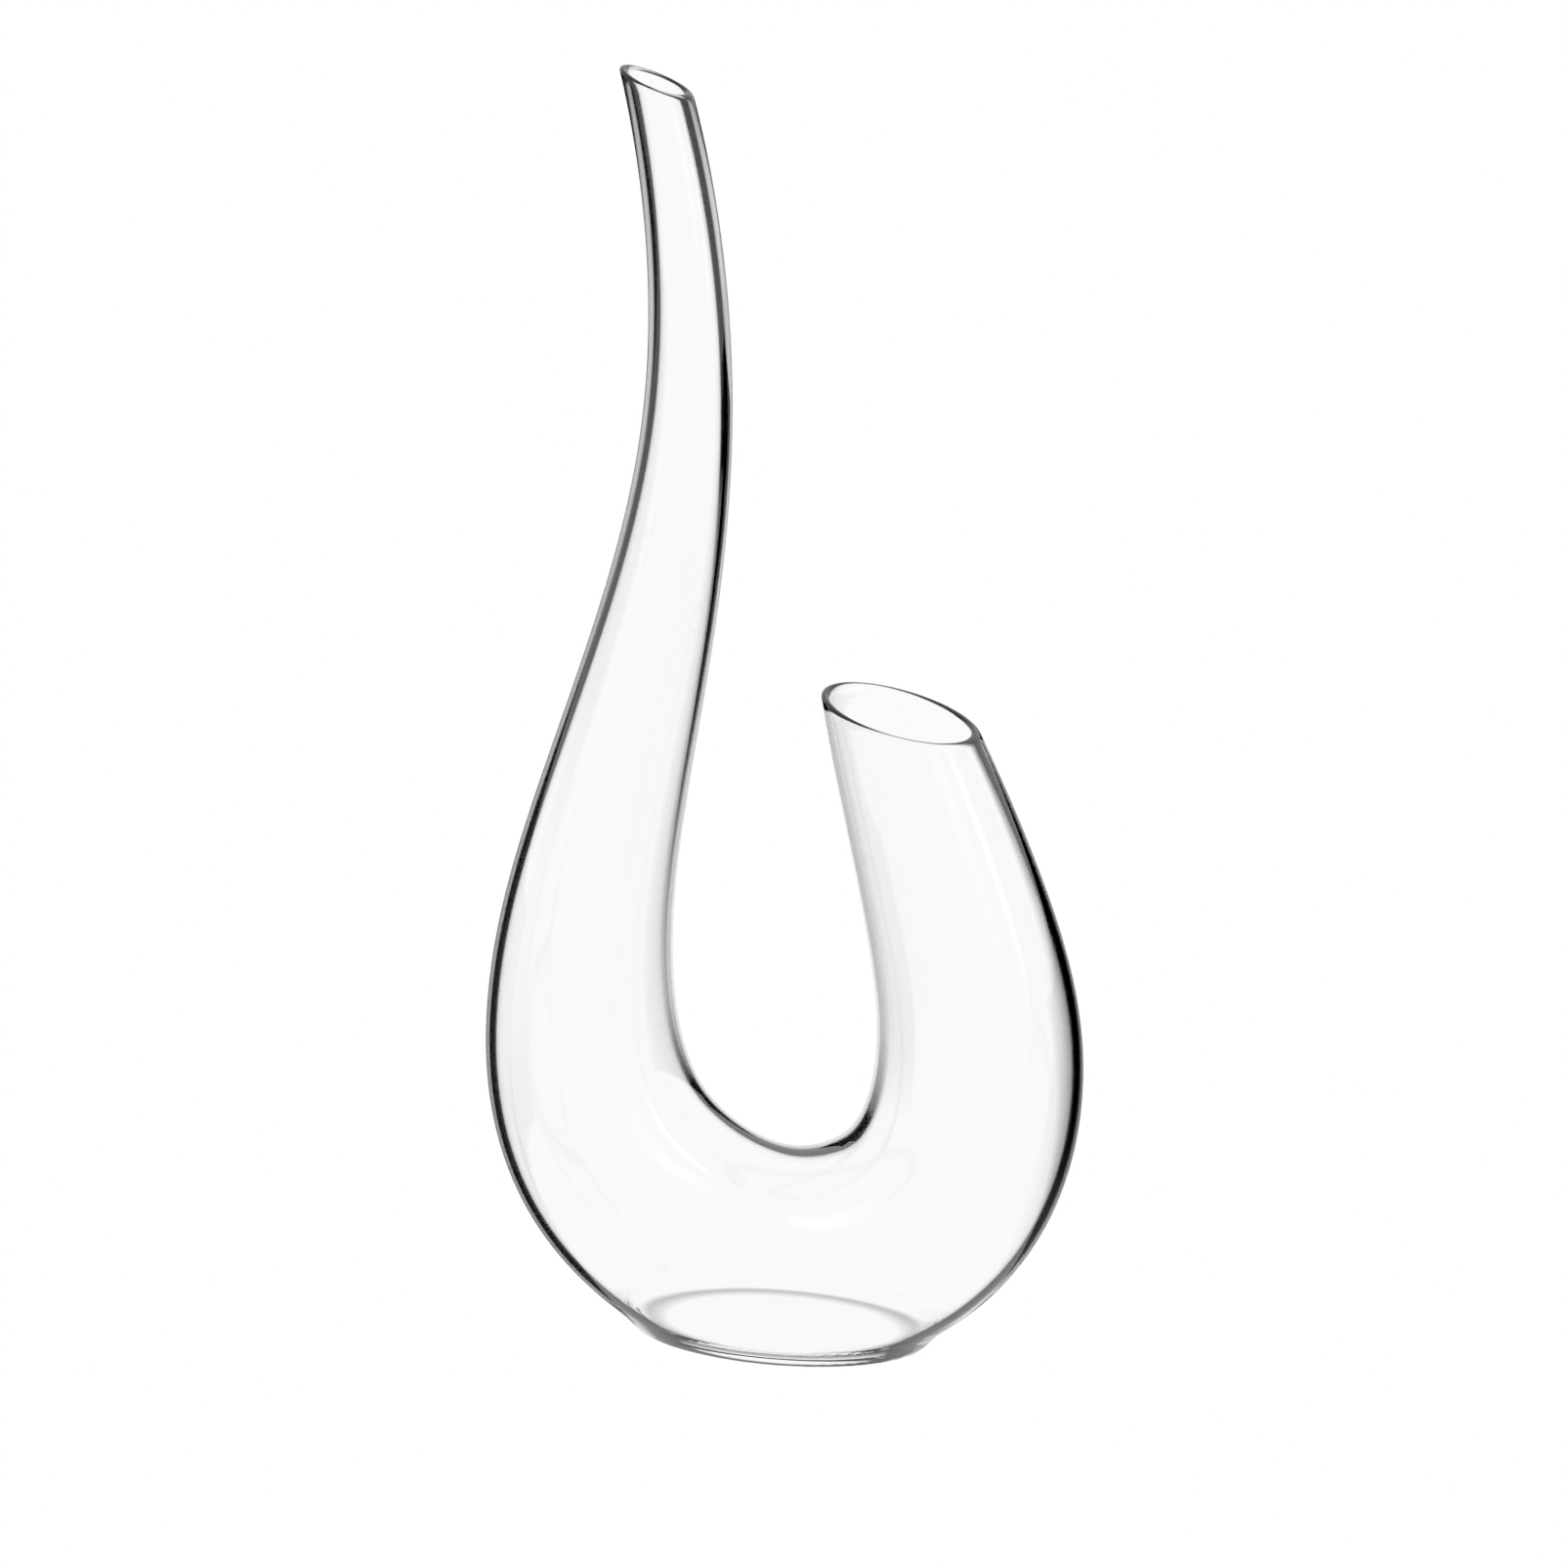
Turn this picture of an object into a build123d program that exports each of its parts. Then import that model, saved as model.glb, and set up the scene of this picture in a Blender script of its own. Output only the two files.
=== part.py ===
"""U-shaped wine decanter of clear blown glass.

One tapering glass tube is bent into a U. Its tall thin arm pours and its short wide arm is
filled. The underside of the bend is pressed flat to stand on, and both ends are cut at a slant.
The glass is one piece. It is modelled in the regions that run into each other along the tube,
and each region is a node of its own that meets its neighbours face to face.

Frame: the origin is the point of the table under the tube's lowest point, +Z is up, and the U
lies in the XZ plane with the tall arm on the -X side. The glass in front of that plane mirrors
the glass behind it.
"""

import os
from math import cos, radians, sin

from build123d import *

# Driving sizes, in millimetres and degrees.

WALL = 2.4                  # thickness of the blown wall
FLOOR = 4.0                 # thickness of the flat floor in the bend

POUR_LIP_LEVEL = 407.6      # height of the middle of the pouring lip
FILL_LIP_LEVEL = 214.6      # height of the middle of the filling lip
TALL_SIDE_LEVEL = 111.5     # height where the tall arm stands furthest out
SHORT_SIDE_LEVEL = 105.5    # height where the short arm stands furthest out
BEND_LEVEL = 26.5           # height of the tube's centre at its lowest point

TALL_REACH = 63.9           # from the lowest point out to the tube's centre in the tall arm
SHORT_REACH = 65.4          # the same in the short arm

TALL_SIDE_RADIUS = 29.9     # outer radius where the tall arm stands furthest out
BEND_RADIUS = 36.3          # outer radius at the lowest point, where the tube is thickest
SHORT_SIDE_RADIUS = 32.4    # outer radius where the short arm stands furthest out

# The tall arm at levels evenly spaced from the end of its blank down to its side: how far the
# tube's centre stands in from the arm's side, and the tube's outer radius there.
TALL_ARM = [
    (22.5, 9.3),
    (35.0, 11.4),
    (35.7, 14.1),
    (25.3, 18.6),
    (9.6, 23.9),
    (0.0, TALL_SIDE_RADIUS),
]
NECK_SEAM = 2               # entry of that list where the pouring neck runs into the tall arm

# The same for the short arm, from its side up to the end of its blank.
SHORT_ARM = [
    (0.0, SHORT_SIDE_RADIUS),
    (7.1, 29.1),
    (19.8, 24.8),
    (33.2, 19.1),
]

# Corners of the bend: share of the arm's reach, share of the drop from the arm's side down
# to the lowest point, and the tube's outer radius.
TALL_CORNER = (0.793, 0.659, 34.8)
SHORT_CORNER = (0.746, 0.715, 34.9)

BLANK_RISE = 15.8           # rise of a blank past the middle of its lip, which the cut takes off
POUR_LIP_INSET = 26.9       # how far the middle of the pouring lip stands in from the arm's side
FILL_LIP_INSET = 28.3       # the same for the filling lip
POUR_LIP_SLOPE = 21.0       # fall of the pouring lip, towards the short arm
FILL_LIP_SLOPE = 13.9       # fall of the filling lip, away from the tall arm
LIP_DEPTH = 4.0             # depth of a fire-polished lip, square to its slope
LIP_ROUNDING = 0.9          # radius that the fire polish leaves on a lip's edges

HEEL_ENDS = 6.85            # how far the press spreads the foot past the bend's flat, at each end
HEEL_SIDES = 1.4            # the same in front of and behind that flat
HEEL_SHIFT = 0.65           # how far it moves the foot's middle towards the short arm
FOOT_ROUNDING = 1.0         # radius on the foot's bottom edge

SECTION_SPACING = 9.0       # distance between the round sections that a wall is drawn through


def spread(first, last, count):
    """Evenly spaced numbers from first to last, both included."""
    step = (last - first) / (count - 1)
    return [first + step * index for index in range(count)]


def stations():
    """Places that the tube passes through: the tall arm's, the bend's and the short arm's.

    Each is (across, radius, height). The tube's outer radius is kept in the place of Y, so one
    smooth curve through them all tells both where the tube's centre runs and how thick it is.
    """
    tall_levels = spread(POUR_LIP_LEVEL + BLANK_RISE, TALL_SIDE_LEVEL, len(TALL_ARM))
    short_levels = spread(SHORT_SIDE_LEVEL, FILL_LIP_LEVEL + BLANK_RISE, len(SHORT_ARM))
    tall_arm = [
        (inset - TALL_REACH, radius, level)
        for (inset, radius), level in zip(TALL_ARM, tall_levels)
    ]
    short_arm = [
        (SHORT_REACH - inset, radius, level)
        for (inset, radius), level in zip(SHORT_ARM, short_levels)
    ]
    bend = [
        bend_corner(TALL_CORNER, -TALL_REACH, TALL_SIDE_LEVEL),
        (0.0, BEND_RADIUS, BEND_LEVEL),
        bend_corner(SHORT_CORNER, SHORT_REACH, SHORT_SIDE_LEVEL),
    ]
    return tall_arm, bend, short_arm


def bend_corner(corner, reach, side_level):
    """Station in the corner between an arm's side and the lowest point of the bend."""
    reach_share, drop_share, radius = corner
    return reach_share * reach, radius, side_level - drop_share * (side_level - BEND_LEVEL)


def section(shape, distance, inset):
    """Round section of the tube at a distance along the shape, inset from the outer face."""
    point = shape.position_at(distance, position_mode=PositionMode.LENGTH)
    slope = shape.tangent_at(distance, position_mode=PositionMode.LENGTH)
    plane = Plane(origin=(point.X, 0, point.Z), x_dir=(0, 1, 0), z_dir=(slope.X, 0, slope.Z))
    return plane * Circle(point.Y - inset)


def tube(shape, start, end, inset=0.0):
    """Solid length of the tube between two distances along the shape."""
    spaces = round((end - start) / SECTION_SPACING)
    return loft([section(shape, distance, inset) for distance in spread(start, end, spaces + 1)])


def wall(shape, start, end):
    """Glass wall of the tube between two distances along the shape, open at both ends."""
    return tube(shape, start, end) - tube(shape, start, end, WALL)


def above_floor(region):
    """What the foot leaves of a wall that runs down into it."""
    return split(region, bisect_by=Plane.XY.offset(FLOOR), keep=Keep.TOP)


def lip_plane(across, level, slope):
    """Slanting cut through the tube's centre at a lip."""
    angle = radians(slope)
    return Plane(origin=(across, 0, level), z_dir=(sin(angle), 0, cos(angle)))


def cut_lip(blank, plane):
    """Cut a blank at its lip, and return the rounded lip and the arm below it."""
    seam = plane.offset(-LIP_DEPTH)
    trimmed = split(blank, bisect_by=plane, keep=Keep.BOTTOM)
    lip = split(trimmed, bisect_by=seam, keep=Keep.TOP)
    rim = lip.edges().group_by(lambda edge: plane.to_local_coords(edge.center()).Z)[-1]
    return fillet(rim, LIP_ROUNDING), split(trimmed, bisect_by=seam, keep=Keep.BOTTOM)


def pressed_foot(bend):
    """Thick glass floor: the bottom of the bend, pressed flat so that it spreads into a heel."""
    above_table = split(bend, bisect_by=Plane.XY, keep=Keep.TOP)
    floor = split(above_table, bisect_by=Plane.XY.offset(FLOOR), keep=Keep.BOTTOM)
    flat = floor.faces().filter_by(GeomType.PLANE).sort_by(Axis.Z)[0].bounding_box()
    oval = Ellipse(flat.size.X / 2 + HEEL_ENDS, flat.size.Y / 2 + HEEL_SIDES)
    heel = extrude(Pos(X=flat.center().X + HEEL_SHIFT) * oval, FLOOR)
    foot = floor + heel
    bottom_edge = foot.edges().group_by(Axis.Z)[0]
    return fillet(bottom_edge, FOOT_ROUNDING)


def decanter():
    """Every region of the glass, by node name."""
    tall_arm, bend, short_arm = stations()
    shape = Spline(*tall_arm, *bend, *short_arm)
    neck_seam, tall_side, lowest, short_side = [
        shape.param_at_point(station) * shape.length
        for station in (tall_arm[NECK_SEAM], tall_arm[-1], bend[1], short_arm[0])
    ]
    pouring_cut = lip_plane(POUR_LIP_INSET - TALL_REACH, POUR_LIP_LEVEL, POUR_LIP_SLOPE)
    filling_cut = lip_plane(SHORT_REACH - FILL_LIP_INSET, FILL_LIP_LEVEL, FILL_LIP_SLOPE)
    pouring_lip, pouring_neck = cut_lip(wall(shape, 0, neck_seam), pouring_cut)
    filling_lip, filling_arm = cut_lip(wall(shape, short_side, shape.length), filling_cut)
    return {
        "pouring_lip": pouring_lip,
        "pouring_neck": pouring_neck,
        "tall_arm": wall(shape, neck_seam, tall_side),
        "tall_side_bend": above_floor(wall(shape, tall_side, lowest)),
        "short_side_bend": above_floor(wall(shape, lowest, short_side)),
        "foot": pressed_foot(tube(shape, tall_side, lowest) + tube(shape, lowest, short_side)),
        "filling_arm": filling_arm,
        "filling_lip": filling_lip,
    }


os.makedirs("parts", exist_ok=True)
for name, region in decanter().items():
    export_step(region, f"parts/{name}.step")
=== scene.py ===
"""U-shaped wine decanter of clear blown glass, as one seamless piece in a white studio.

The glass is one closed mesh. Its rings run along the outside from the pouring lip to the filling
lip, over that lip, back along the inside, and over the pouring lip to where they began.
Lengths are in metres and angles in degrees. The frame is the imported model's: +Z is up and the U
lies in the XZ plane, with the tall pouring arm on the -X side.
"""

from math import cos, pi, radians, sin

import bpy
import numpy as np
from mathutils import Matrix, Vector


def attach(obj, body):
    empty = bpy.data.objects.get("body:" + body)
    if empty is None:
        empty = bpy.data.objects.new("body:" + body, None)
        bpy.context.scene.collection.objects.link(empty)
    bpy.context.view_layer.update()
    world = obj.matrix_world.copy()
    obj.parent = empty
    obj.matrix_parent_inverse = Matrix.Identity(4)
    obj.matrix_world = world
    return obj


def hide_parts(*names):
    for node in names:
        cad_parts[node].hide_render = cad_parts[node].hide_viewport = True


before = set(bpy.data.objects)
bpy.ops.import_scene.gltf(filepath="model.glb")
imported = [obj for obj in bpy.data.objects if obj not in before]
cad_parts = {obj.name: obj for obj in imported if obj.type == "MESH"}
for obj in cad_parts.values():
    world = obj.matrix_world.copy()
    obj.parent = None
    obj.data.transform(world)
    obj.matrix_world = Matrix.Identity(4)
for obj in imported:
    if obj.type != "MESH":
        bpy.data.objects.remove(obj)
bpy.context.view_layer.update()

# The glass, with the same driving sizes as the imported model.

WALL = 0.0024                 # thickness of the blown wall
FLOOR = 0.0040                # thickness of the flat floor in the bend

POUR_LIP_LEVEL = 0.4076       # height of the middle of the pouring lip
FILL_LIP_LEVEL = 0.2146       # height of the middle of the filling lip
TALL_SIDE_LEVEL = 0.1115      # height where the tall arm stands furthest out
SHORT_SIDE_LEVEL = 0.1055     # height where the short arm stands furthest out
BEND_LEVEL = 0.0265           # height of the tube's centre at its lowest point

TALL_REACH = 0.0639           # from the lowest point out to the tube's centre in the tall arm
SHORT_REACH = 0.0654          # the same in the short arm
BEND_RADIUS = 0.0363          # outer radius at the lowest point

# Each arm at evenly spaced levels: inset from the arm's side, and outer radius.
TALL_ARM = [
    (0.0225, 0.0093),
    (0.0350, 0.0114),
    (0.0357, 0.0141),
    (0.0253, 0.0186),
    (0.0096, 0.0239),
    (0.0000, 0.0299),
]
SHORT_ARM = [
    (0.0000, 0.0324),
    (0.0071, 0.0291),
    (0.0198, 0.0248),
    (0.0332, 0.0191),
]

# Corners of the bend: share of the arm's reach, share of the drop, and outer radius.
TALL_CORNER = (0.793, 0.659, 0.0348)
SHORT_CORNER = (0.746, 0.715, 0.0349)

BLANK_RISE = 0.0158           # rise of each blank past the middle of its lip
POUR_LIP_INSET = 0.0269       # how far the middle of the pouring lip stands in from the side
FILL_LIP_INSET = 0.0283       # the same for the filling lip
POUR_LIP_SLOPE = 21.0         # fall of the pouring lip, towards +X
FILL_LIP_SLOPE = 13.9         # fall of the filling lip, towards +X

# The foot and the lips as the press and the fire leave them.

FOOT_MIDDLE = 0.0020          # middle of the pressed foot, from the origin along X
FOOT_SIZE = (0.0956, 0.0524)  # length and width of the pressed foot
FOOT_SPREAD = (0.167, 0.056)  # how much the press widens the foot, along X and Y
HEEL_RISE = 0.0130            # height over which that widening dies out
HEEL_POWER = 3                # how steeply it dies out, fastest at the bottom
HEEL_ROUNDING = 0.0032        # softness of the foot's bottom edge
FLOOR_ROUNDING = 0.0035       # softness of the inner floor's edge
LIP_MERGE = 0.030             # length over which rings turn from square to the lip's slant
BOW_HANDLE = 4 / 3            # handles of a cubic bow beside its radius, to make it a half circle

# How finely the glass is drawn.

TRACED = 1200                 # places where the tube is traced, before its rings are spread
ALONG = 270                   # rings along each face of the wall
AROUND = 160                  # vertices round each ring
LIP_RINGS = 9                 # rings over each lip

# The finish of the glass.

GLASS_COLOUR = (0.985, 0.987, 0.985, 1)
GLASS_INDEX = 1.5             # how strongly the glass bends light
RIPPLE_SCALE = 22.0           # the faint ripple of a blown wall
RIPPLE_DETAIL = 1.0
RIPPLE_STRENGTH = 0.05
RIPPLE_DEPTH = 0.0006

# Painted shade at the edges of the glass: a dark band painted into the outer glass's colour, added
# to the dark that the flags give through the glass. How far its skin is turned from the viewer
# runs from 0, facing, to 1, edge on. The painted dark band lies between DARK_FROM and DARK_TO,
# each given as its place in a very thin wall, and how far it would move in for a wall as thick as
# the tube's radius.
LAYER_BLEND = 0.5             # makes that turn one less its cosine
DARK_FROM = (0.747, 2.35)
DARK_TO = (0.922, 2.11)
BAND = (0.25, 0.75)           # where the painted dark band's two sides lie along the stops below
PAINTED_EDGE_SHADE = [                 # place, and share of the light that the painted shade lets through
    (0.00, 0.985),
    (0.14, 0.93),
    (0.22, 0.74),
    (0.30, 0.06),
    (0.45, 0.02),
    (0.68, 0.02),
    (0.80, 0.50),
    (1.00, 0.75),
]

# Painted light: the painted dark band is paler on the sides where the arms face each other.
PALE_LEVELS = (0.085, 0.290)  # lowest and highest level of those sides
PALE_SOFTNESS = 0.030         # height over which it turns pale at each of the two levels
PALE_TURN = 0.25              # cosine of the turn from the other arm up to which it is fully pale
PALE_SHARE = 0.55             # how much of the band it loses
PAINTED_PALE_COLOUR = (0.95, 0.95, 0.95, 1)   # painted colour of the glass where the painted band is lost

# The camera.

VIEW_TURN = 13.094            # turn to the right of the U's front
VIEW_RISE = 19.182            # rise above the horizon
VIEW_DISTANCE = 1.56428       # from the target
VIEW_TARGET = Vector((0.0024, 0.0, 0.1879))
LENS = 115.3                  # millimetres
SENSOR_WIDTH = 36.0           # millimetres

# The studio: the white floor, and the tent that only the glass sees.

WHITE = (1, 1, 1, 1)
WHITE_LIGHT = 1.0             # brightness of the white floor and background
FLOOR_REACH = 8.0             # how far the white floor runs each way
TENT_LIGHT = 0.99             # brightness of the tent
TENT_RADIUS = 2.6
TENT_DROP = 0.0006            # how far the tent's floor lies below the foot
TENT_HUB = 0.0001             # radius of the pinhole in the middle of the tent's floor
DOME_TOP = 89.8               # rise of the dome's last row, just short of straight above
DOME_ROWS = 10
ROUND = 73                    # points all the way round, the last of them on the first
SHADOW_DROP = 0.0003          # how far the contact shadow lies below the foot
CONTACT_SHADOW = [            # place as a share of the foot, and share of the tent's light
    (0.80, 1.0),
    (0.92, 0.55),
    (0.97, 0.45),
    (1.05, 1.0),
]

# Black cards beside the view's path: name, side (1 is right), gap to the path, softness of the
# inner edge, length, height of the far end, and whether the glass shows the card through itself.
FLAGS = [
    ("flag_right", 1, 0.075, 0.12, 1.1, 0.002, True),
    ("flag_right_skin", 1, 0.03, 0.05, 2.2, 0.25, False),
    ("flag_left_skin", -1, 0.03, 0.05, 2.2, 0.25, False),
]
FLAG_LIFT = 0.001             # height of a lying flag above the floor
FLAG_WIDTH = 1.4
FLAG_SPREAD = 0.20            # how much the gap grows for each metre forward
FLAG_COLUMNS = 5              # columns of points in the soft edge

# Bright upright strips: name, turn from the camera, width in degrees, and brightness.
SOFTBOXES = [
    ("softbox_left", -62, 20, 2.4),
    ("softbox_right", 66, 12, 3.6),
    ("softbox_right_wide", 40, 22, 2.0),
]
SOFTBOX_DISTANCE = 1.2
SOFTBOX_HEIGHTS = (0.0, 2.0)
SOFTBOX_ROWS = 9              # rows of points, and points in each row


def stations():
    """Places the tube passes through, as (across, outer radius, height), tall arm first."""
    tall_levels = np.linspace(POUR_LIP_LEVEL + BLANK_RISE, TALL_SIDE_LEVEL, len(TALL_ARM))
    short_levels = np.linspace(SHORT_SIDE_LEVEL, FILL_LIP_LEVEL + BLANK_RISE, len(SHORT_ARM))
    tall_arm = [
        (inset - TALL_REACH, radius, level)
        for (inset, radius), level in zip(TALL_ARM, tall_levels)
    ]
    short_arm = [
        (SHORT_REACH - inset, radius, level)
        for (inset, radius), level in zip(SHORT_ARM, short_levels)
    ]
    bend = [
        bend_corner(TALL_CORNER, -TALL_REACH, TALL_SIDE_LEVEL),
        (0.0, BEND_RADIUS, BEND_LEVEL),
        bend_corner(SHORT_CORNER, SHORT_REACH, SHORT_SIDE_LEVEL),
    ]
    return np.array(tall_arm + bend + short_arm)


def bend_corner(corner, reach, side_level):
    """Station in the corner between an arm's side and the lowest point of the bend."""
    reach_share, drop_share, radius = corner
    return reach_share * reach, radius, side_level - drop_share * (side_level - BEND_LEVEL)


def smooth_curve(points):
    """Cubic curve with no break in its bend through the points, as a function of length."""
    steps = np.diff(points, axis=0)
    knots = np.concatenate([[0.0], np.cumsum(np.linalg.norm(steps, axis=1))])
    spans = np.diff(knots)
    rises = steps / spans[:, None]
    count = len(points)
    system = np.eye(count)
    wanted = np.zeros_like(points)
    for knot in range(1, count - 1):
        before, after = spans[knot - 1], spans[knot]
        system[knot, knot - 1:knot + 2] = after, 2 * (before + after), before
        wanted[knot] = 3 * (after * rises[knot - 1] + before * rises[knot])
    wanted[0] = end_slope(knots[:4], points[:4])
    wanted[-1] = end_slope(knots[:-5:-1], points[:-5:-1])
    slopes = np.linalg.solve(system, wanted)

    def at(lengths):
        span = np.clip(np.searchsorted(knots, lengths) - 1, 0, count - 2)
        width = spans[span][:, None]
        share = (lengths - knots[span])[:, None] / width
        return (
            points[span] * (1 + 2 * share) * (1 - share) ** 2
            + points[span + 1] * (3 - 2 * share) * share ** 2
            + slopes[span] * width * share * (1 - share) ** 2
            - slopes[span + 1] * width * share ** 2 * (1 - share)
        )

    return at, knots[-1]


def end_slope(knots, points):
    """Slope at the first of four points of the cubic that passes through them."""
    return np.array([np.polyfit(knots - knots[0], column, 3)[2] for column in points.T])


def tube_line(count):
    """Evenly spaced centres, directions and outer radii along the tube."""
    curve, length = smooth_curve(stations())
    lengths = np.linspace(0, length, count)
    place = curve(lengths)
    quarter_step = length / count / 4
    ahead = curve(np.minimum(lengths + quarter_step, length))
    behind = curve(np.maximum(lengths - quarter_step, 0))
    heading = (ahead - behind)[:, [0, 2]]
    heading /= np.linalg.norm(heading, axis=1)[:, None]
    return place[:, 0], place[:, 2], heading, place[:, 1]


def traced_lines(inset):
    """Lines along one face of the tube's wall, blanks included, as (TRACED, AROUND, 3)."""
    across, level, heading, radius = tube_line(TRACED)
    spins = 2 * pi * np.arange(AROUND) / AROUND
    side = np.stack([-heading[:, 1], heading[:, 0]], axis=1)
    reach = (radius - inset)[:, None]
    lines = np.empty((TRACED, AROUND, 3))
    lines[:, :, 0] = across[:, None] + reach * side[:, :1] * np.cos(spins)
    lines[:, :, 1] = reach * np.sin(spins)
    lines[:, :, 2] = level[:, None] + reach * side[:, 1:] * np.cos(spins)
    return lines


def lip_cut(across, level, slope):
    """A lip's middle and the direction square to it."""
    angle = radians(slope)
    return np.array([across, 0.0, level]), np.array([sin(angle), 0.0, cos(angle)])


def cut_station(lines, cut, end):
    """Where each line along the tube passes a lip's rounding below the cut."""
    middle, square = cut
    above = (lines - middle) @ square + WALL / 2
    order = slice(None) if end == 0 else slice(None, None, -1)
    found = []
    for line in range(AROUND):
        heights = above[order, line]
        inside = int(np.argmax(heights < 0))
        share = heights[inside - 1] / (heights[inside - 1] - heights[inside])
        found.append(inside - 1 + share)
    found = np.array(found)
    return found if end == 0 else TRACED - 1 - found


def wall_face(inset):
    """Rings of one face of the wall, (ALONG, AROUND, 3), trimmed a lip's rounding below each cut.

    Each line along the tube is cut where it meets the two lips, and its vertices are then
    spread so that the rings turn to each lip's slant over LIP_MERGE.
    """
    lines = traced_lines(inset)
    pour_cut = lip_cut(POUR_LIP_INSET - TALL_REACH, POUR_LIP_LEVEL, POUR_LIP_SLOPE)
    fill_cut = lip_cut(SHORT_REACH - FILL_LIP_INSET, FILL_LIP_LEVEL, FILL_LIP_SLOPE)
    first = cut_station(lines, pour_cut, 0)
    last = cut_station(lines, fill_cut, -1)
    length = np.linalg.norm(np.diff(lines.mean(1), axis=0), axis=1).sum()
    merge = TRACED * LIP_MERGE / length
    rings = np.linspace(first.mean(), last.mean(), ALONG)
    near_first = np.exp(-((rings - rings[0]) / merge) ** 2)
    near_last = np.exp(-((rings[-1] - rings) / merge) ** 2)
    traced = np.arange(TRACED, dtype=float)
    face = np.empty((ALONG, AROUND, 3))
    for line in range(AROUND):
        turned_first = near_first * (first[line] - rings[0])
        turned_last = near_last * (last[line] - rings[-1])
        places = rings + turned_first + turned_last
        for axis in range(3):
            face[:, line, axis] = np.interp(places, traced, lines[:, line, axis])
    return face


def soft_above(height, level, softness):
    """Height raised to stay above a level, turning smoothly over the softness on each side."""
    over = height - level
    near = np.clip(softness - np.abs(over), 0, None)
    return level + np.maximum(over, 0) + near ** 2 / (4 * softness)


def press_outside(face):
    """Press the outside flat on the table, so that the glass spreads into a heel."""
    height = face[:, :, 2]
    spread = (1 - np.clip(height / HEEL_RISE, 0, 1)) ** HEEL_POWER
    face[:, :, 0] = FOOT_MIDDLE + (face[:, :, 0] - FOOT_MIDDLE) * (1 + FOOT_SPREAD[0] * spread)
    face[:, :, 1] *= 1 + FOOT_SPREAD[1] * spread
    face[:, :, 2] = soft_above(height, 0.0, HEEL_ROUNDING)
    return face


def press_inside(face):
    """Lay the inside flat on the glass floor, with a soft turn up into the wall."""
    face[:, :, 2] = soft_above(face[:, :, 2], FLOOR, FLOOR_ROUNDING)
    return face


def ring_heading(last, before):
    """Unit directions in which the lines run as they reach a face's last ring."""
    run = last - before
    return run / np.linalg.norm(run, axis=1)[:, None]


def lip_rings(start, start_heading, end, end_heading):
    """Rings over a lip, from one face's end ring to the other's, each line a round bow."""
    radius = np.linalg.norm(end - start, axis=1)[:, None] / 2
    handle = radius * BOW_HANDLE
    shares = np.linspace(0, 1, LIP_RINGS + 2)[1:-1]
    return np.array([
        start * (1 - share) ** 3
        + (start + start_heading * handle) * 3 * share * (1 - share) ** 2
        + (end + end_heading * handle) * 3 * share ** 2 * (1 - share)
        + end * share ** 3
        for share in shares
    ])


def paint_edges(mesh, rings):
    """Write what the painted edge shade of the outer glass needs to know of the wall at each
    vertex, and how much of that painted shade each vertex keeps.

    A tube bends light from beside it most where the line of sight grazes its inner face, so the
    band that looks dark lies further in where the wall is thick beside the tube's radius.
    """
    radius = np.ptp(rings[:, :, 1], axis=1)[:, None] / 2
    thickness = np.broadcast_to(WALL / radius, rings.shape[:2])
    turned_in = np.cos(2 * pi * np.arange(AROUND) / AROUND)
    low, high = PALE_LEVELS
    depth = np.minimum(rings[:, :, 2] - low, high - rings[:, :, 2])
    level = np.clip(depth / PALE_SOFTNESS, 0, 1)
    layers = {
        "dark_from": DARK_FROM[0] - DARK_FROM[1] * thickness,
        "dark_to": DARK_TO[0] - DARK_TO[1] * thickness,
        # painted light: the sides where the arms face each other keep less of the painted shade
        "dark_share": 1 - PALE_SHARE * level * np.clip(turned_in / PALE_TURN, 0, 1),
    }
    for name, values in layers.items():
        layer = mesh.attributes.new(name, "FLOAT", "POINT")
        layer.data.foreach_set("value", values.ravel())


def glass_body():
    """The decanter: one closed, seamless skin round the glass."""
    outside = press_outside(wall_face(0.0))
    inside = press_inside(wall_face(WALL))
    over_fill = lip_rings(
        outside[-1], ring_heading(outside[-1], outside[-2]),
        inside[-1], ring_heading(inside[-1], inside[-2]),
    )
    over_pour = lip_rings(
        inside[0], ring_heading(inside[0], inside[1]),
        outside[0], ring_heading(outside[0], outside[1]),
    )
    rings = np.concatenate([outside, over_fill, inside[::-1], over_pour])
    count = len(rings)
    faces = [
        (
            ring * AROUND + spin,
            (ring + 1) % count * AROUND + spin,
            (ring + 1) % count * AROUND + (spin + 1) % AROUND,
            ring * AROUND + (spin + 1) % AROUND,
        )
        for ring in range(count)
        for spin in range(AROUND)
    ]
    mesh = bpy.data.meshes.new("glass_body")
    mesh.from_pydata(rings.reshape(-1, 3).tolist(), [], faces)
    first_inner = len(outside) + LIP_RINGS
    inner = range(first_inner, first_inner + len(inside))
    for face in mesh.polygons:
        face.material_index = int(face.index // AROUND in inner)
    paint_edges(mesh, rings)
    mesh.validate()
    mesh.shade_smooth()
    piece = bpy.data.objects.new("glass_body", mesh)
    bpy.context.scene.collection.objects.link(piece)
    return piece


def painted(nodes, name):
    """Value written at each vertex of a mesh."""
    layer = nodes.new("ShaderNodeAttribute")
    layer.attribute_name = name
    return layer.outputs["Fac"]


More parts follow.
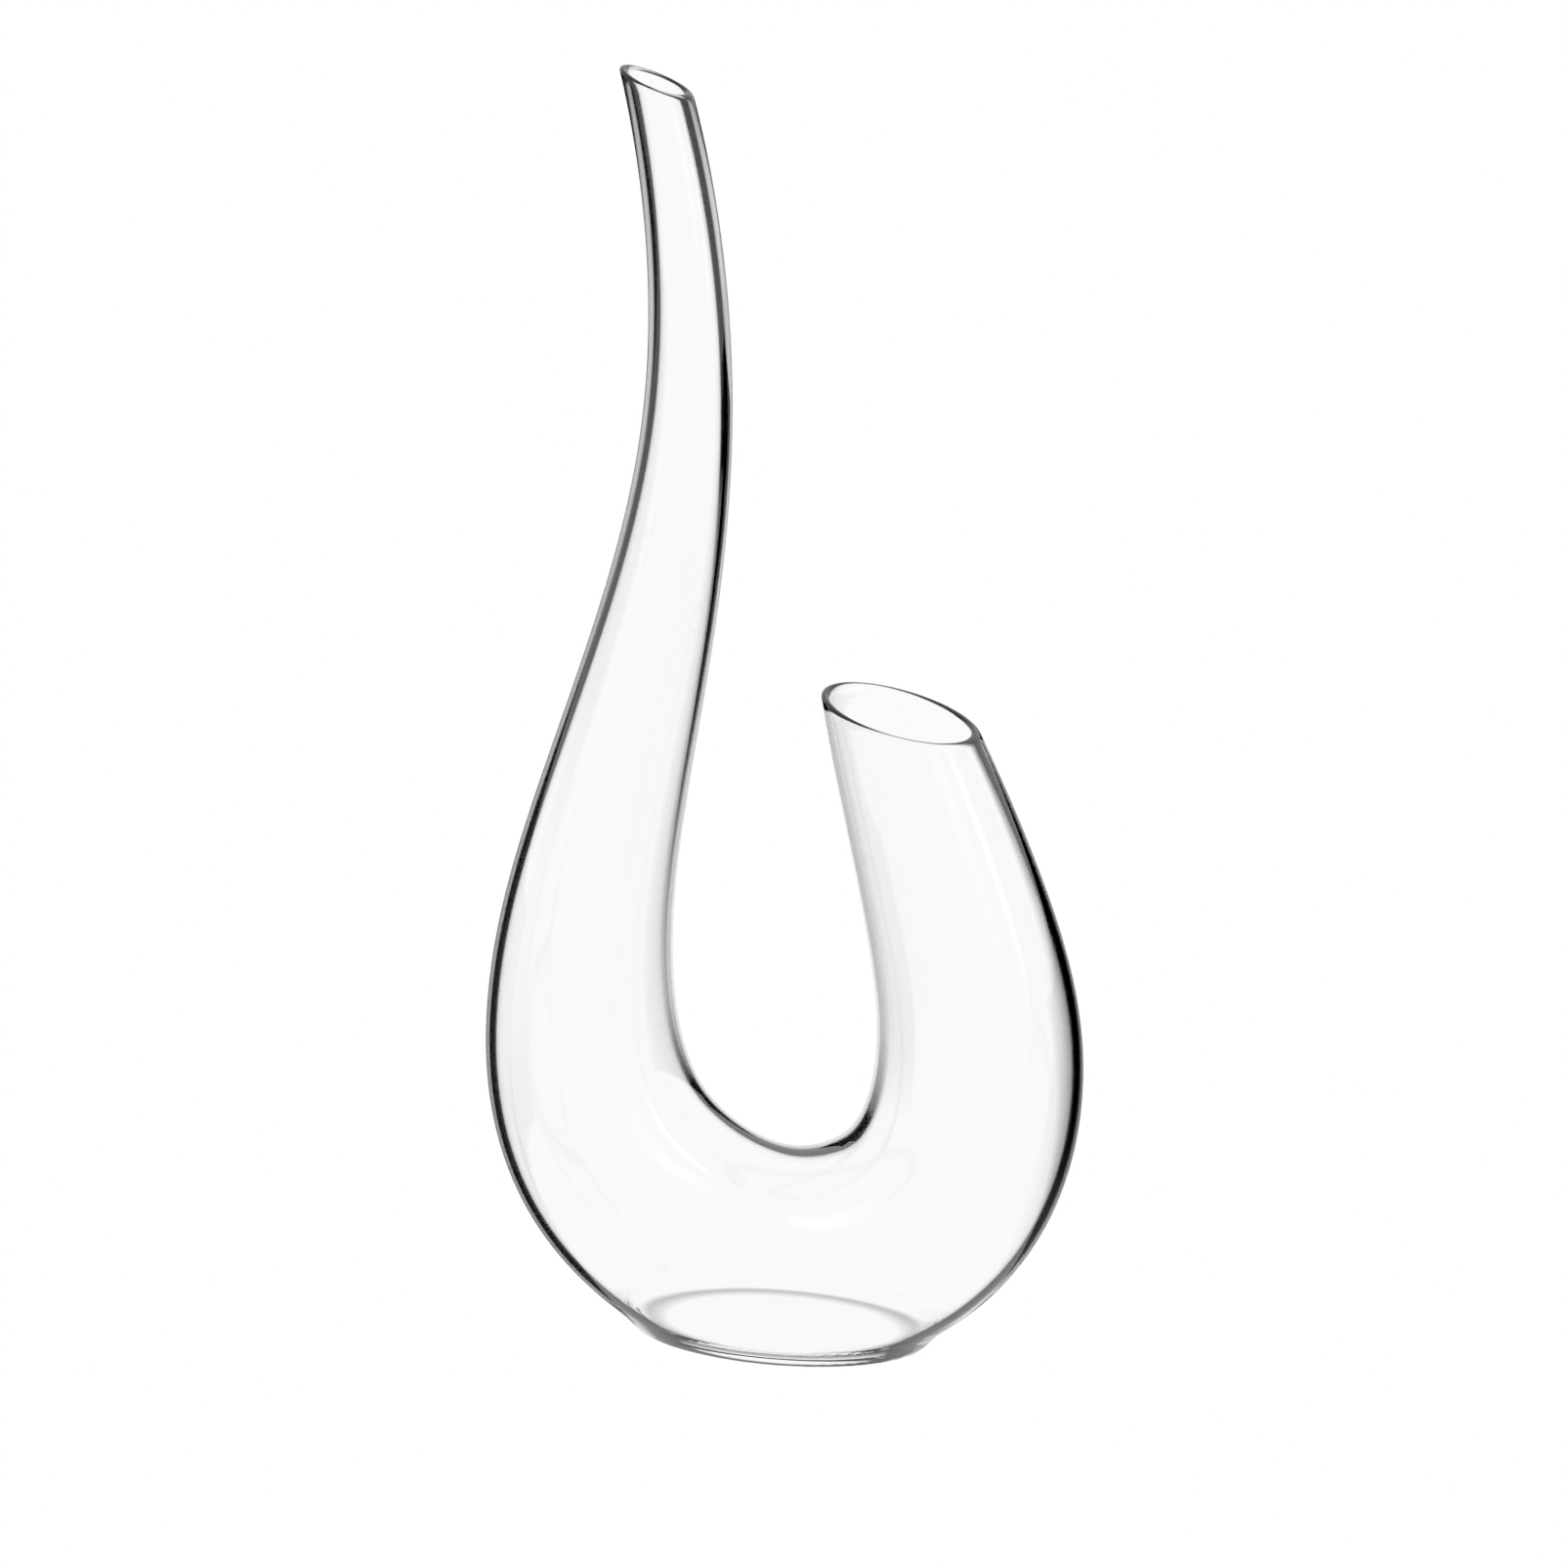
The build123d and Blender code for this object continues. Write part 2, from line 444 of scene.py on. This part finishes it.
def painted_shade_colour(nodes, links, painted_shade_stops):
    """Painted shade on the outer glass: clear, then a dark band, then paler again towards its
    edges, all painted into its colour.
    """
    turned = nodes.new("ShaderNodeLayerWeight")
    turned.inputs["Blend"].default_value = LAYER_BLEND
    band = nodes.new("ShaderNodeMapRange")
    band.clamp = False
    band.inputs["To Min"].default_value = BAND[0]
    band.inputs["To Max"].default_value = BAND[1]
    links.new(turned.outputs["Facing"], band.inputs["Value"])
    links.new(painted(nodes, "dark_from"), band.inputs["From Min"])
    links.new(painted(nodes, "dark_to"), band.inputs["From Max"])
    # Painted shade: this ramp darkens the glass's colour in a band near its outline.
    shade_ramp = nodes.new("ShaderNodeValToRGB")
    stops = shade_ramp.color_ramp.elements
    for place, _ in painted_shade_stops[1:-1]:
        stops.new(place)
    for stop, (_, share) in zip(stops, painted_shade_stops):
        stop.color = (share ** 2, share ** 2, share ** 2, 1)   # the shader takes the root
    # Painted light: the band is mixed towards a paler colour where the arms face each other.
    mixed = nodes.new("ShaderNodeMixRGB")
    mixed.inputs["Color1"].default_value = PAINTED_PALE_COLOUR
    links.new(band.outputs["Result"], shade_ramp.inputs["Fac"])
    links.new(painted(nodes, "dark_share"), mixed.inputs["Fac"])
    links.new(shade_ramp.outputs["Color"], mixed.inputs["Color2"])
    return mixed.outputs["Color"]


def clear_glass(name, painted_shade_stops=None):
    """Fire-polished, colourless glass, with the faint ripple of a blown wall, and, where stops are
    given, a painted dark band near its outline.
    """
    material = bpy.data.materials.new(name)
    material.use_nodes = True
    nodes, links = material.node_tree.nodes, material.node_tree.links
    shader = nodes["Principled BSDF"]
    shader.inputs["Base Color"].default_value = GLASS_COLOUR
    shader.inputs["Roughness"].default_value = 0.0
    shader.inputs["IOR"].default_value = GLASS_INDEX
    shader.inputs["Transmission Weight"].default_value = 1.0
    place = nodes.new("ShaderNodeTexCoord")
    ripple = nodes.new("ShaderNodeTexNoise")
    ripple.inputs["Scale"].default_value = RIPPLE_SCALE
    ripple.inputs["Detail"].default_value = RIPPLE_DETAIL
    bump = nodes.new("ShaderNodeBump")
    bump.inputs["Strength"].default_value = RIPPLE_STRENGTH
    bump.inputs["Distance"].default_value = RIPPLE_DEPTH
    links.new(place.outputs["Object"], ripple.inputs["Vector"])
    links.new(ripple.outputs["Fac"], bump.inputs["Height"])
    links.new(bump.outputs["Normal"], shader.inputs["Normal"])
    # Painted shade: where stops are given, the dark edge band is painted into the base colour.
    if painted_shade_stops:
        links.new(painted_shade_colour(nodes, links, painted_shade_stops), shader.inputs["Base Color"])
    return material


def light_material(name, brightness=None):
    """Glow of one brightness or, where none is given, of what is written at each point."""
    material = bpy.data.materials.new(name)
    material.use_nodes = True
    nodes, links = material.node_tree.nodes, material.node_tree.links
    nodes.remove(nodes["Principled BSDF"])
    glow = nodes.new("ShaderNodeEmission")
    if brightness is None:
        links.new(painted(nodes, "brightness"), glow.inputs["Strength"])
    else:
        glow.inputs["Strength"].default_value = brightness
    links.new(glow.outputs["Emission"], nodes["Material Output"].inputs["Surface"])
    return material


def stage_piece(name, rows, material, brightness=None, seen=False):
    """Part of the studio: a sheet through rows of points, which the camera sees only if asked."""
    across = len(rows[0])
    faces = [
        (
            row * across + point,
            row * across + point + 1,
            (row + 1) * across + point + 1,
            (row + 1) * across + point,
        )
        for row in range(len(rows) - 1)
        for point in range(across - 1)
    ]
    mesh = bpy.data.meshes.new(name)
    mesh.from_pydata([point for row in rows for point in row], [], faces)
    mesh.materials.append(material)
    if brightness is not None:
        layer = mesh.attributes.new("brightness", "FLOAT", "POINT")
        layer.data.foreach_set("value", [value for row in brightness for value in row])
    piece = bpy.data.objects.new(name, mesh)
    piece.visible_camera = seen
    bpy.context.scene.collection.objects.link(piece)
    return piece


def bearing(turn, distance, height):
    """Point at a compass turn from the front (-Y), growing towards +X."""
    angle = radians(turn)
    return distance * sin(angle), -distance * cos(angle), height


def ring(distance, height):
    """Points all the way round at one distance."""
    return [bearing(turn, distance, height) for turn in np.linspace(0, 360, ROUND)]


def beside(forward, sideways, height):
    """Point on the stage, forward along the camera's view and sideways to its right."""
    turn = radians(VIEW_TURN)
    across = sideways * cos(turn) - forward * sin(turn)
    return across, sideways * sin(turn) + forward * cos(turn), height


def flag(name, side, gap, softness, length, top, through):
    """Black card that lies beside the view's path, soft at its inner edge, and then stands up.

    The glass shows every flag in its skin, and only some of them through itself.
    """
    shares = np.linspace(0, 1, FLAG_COLUMNS)
    columns = [*(softness * shares), FLAG_WIDTH]
    brightness = [*(TENT_LIGHT * (1 - shares) ** 2), 0.0]
    rows = [
        [
            beside(forward, side * (gap + FLAG_SPREAD * forward + column), height)
            for column in columns
        ]
        for forward, height in [(0.0, FLAG_LIFT), (length, FLAG_LIFT), (length, top)]
    ]
    card = stage_piece(name, rows, light_material(name), [brightness] * len(rows))
    card.visible_transmission = through


def softbox(name, turn, width, brightness):
    """Bright upright strip in front of the glass, soft at its edges, which only its skin shows."""
    shares = np.linspace(0, 1, SOFTBOX_ROWS)
    turns = VIEW_TURN + turn + width * (shares - 0.5)
    bottom, top = SOFTBOX_HEIGHTS
    rows = [
        [bearing(edge, SOFTBOX_DISTANCE, bottom + (top - bottom) * share) for edge in turns]
        for share in shares
    ]
    glow = np.outer(np.sin(pi * shares), np.sin(pi * shares))
    values = TENT_LIGHT + (brightness - TENT_LIGHT) * glow
    card = stage_piece(name, rows, light_material(name), values)
    card.visible_transmission = False


def contact_shadow():
    """Shadow under the rounded edge of the foot, which the glass sees through itself."""
    turns = np.linspace(0, 2 * pi, ROUND)
    length, width = FOOT_SIZE
    rows = [
        [
            (
                FOOT_MIDDLE + length / 2 * scale * cos(turn),
                width / 2 * scale * sin(turn),
                -SHADOW_DROP,
            )
            for turn in turns
        ]
        for scale, _ in CONTACT_SHADOW
    ]
    shade = [[TENT_LIGHT * share] * ROUND for _, share in CONTACT_SHADOW]
    stage_piece("contact_shadow", rows, light_material("contact_shadow"), shade)


def white_floor():
    """White floor that the camera sees and the glass doesn't."""
    edge = FLOOR_REACH
    rows = [[(-edge, -edge, 0), (edge, -edge, 0)], [(-edge, edge, 0), (edge, edge, 0)]]
    floor = stage_piece("floor", rows, light_material("pale_floor", WHITE_LIGHT), seen=True)
    floor.visible_transmission = False
    floor.visible_glossy = False


def white_world():
    """White background."""
    world = bpy.data.worlds.new("white_studio")
    world.use_nodes = True
    background = world.node_tree.nodes["Background"]
    background.inputs["Color"].default_value = WHITE
    background.inputs["Strength"].default_value = WHITE_LIGHT
    bpy.context.scene.world = world


def studio():
    """White floor and background, and the tent, shadow and cards that only the glass sees."""
    white_floor()
    tent = light_material("tent", TENT_LIGHT)
    stage_piece("tent_floor", [ring(TENT_HUB, -TENT_DROP), ring(TENT_RADIUS, -TENT_DROP)], tent)
    contact_shadow()
    rises = np.linspace(0, radians(DOME_TOP), DOME_ROWS)
    dome = [ring(TENT_RADIUS * cos(rise), TENT_RADIUS * sin(rise)) for rise in rises]
    stage_piece("tent_dome", dome, tent)
    for card in FLAGS:
        flag(*card)
    for card in SOFTBOXES:
        softbox(*card)
    white_world()


def camera():
    """Camera turned and raised from the U's front, looking at the target."""
    turn, rise = radians(VIEW_TURN), radians(VIEW_RISE)
    back = Vector((sin(turn) * cos(rise), -cos(turn) * cos(rise), sin(rise)))
    data = bpy.data.cameras.new("camera")
    data.lens = LENS
    data.sensor_width = SENSOR_WIDTH
    piece = bpy.data.objects.new("camera", data)
    piece.location = VIEW_TARGET + back * VIEW_DISTANCE
    piece.rotation_mode = "QUATERNION"
    piece.rotation_quaternion = (-back).to_track_quat("-Z", "Y")
    bpy.context.scene.collection.objects.link(piece)
    bpy.context.scene.camera = piece


body = glass_body()
# The outer skin carries the painted edge shade; the inner skin is plain glass.
body.data.materials.append(clear_glass("outer_glass_with_painted_shade", PAINTED_EDGE_SHADE))
body.data.materials.append(clear_glass("plain_glass"))
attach(body, "root")
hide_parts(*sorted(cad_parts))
studio()
camera()
bpy.context.scene.view_settings.view_transform = "Standard"
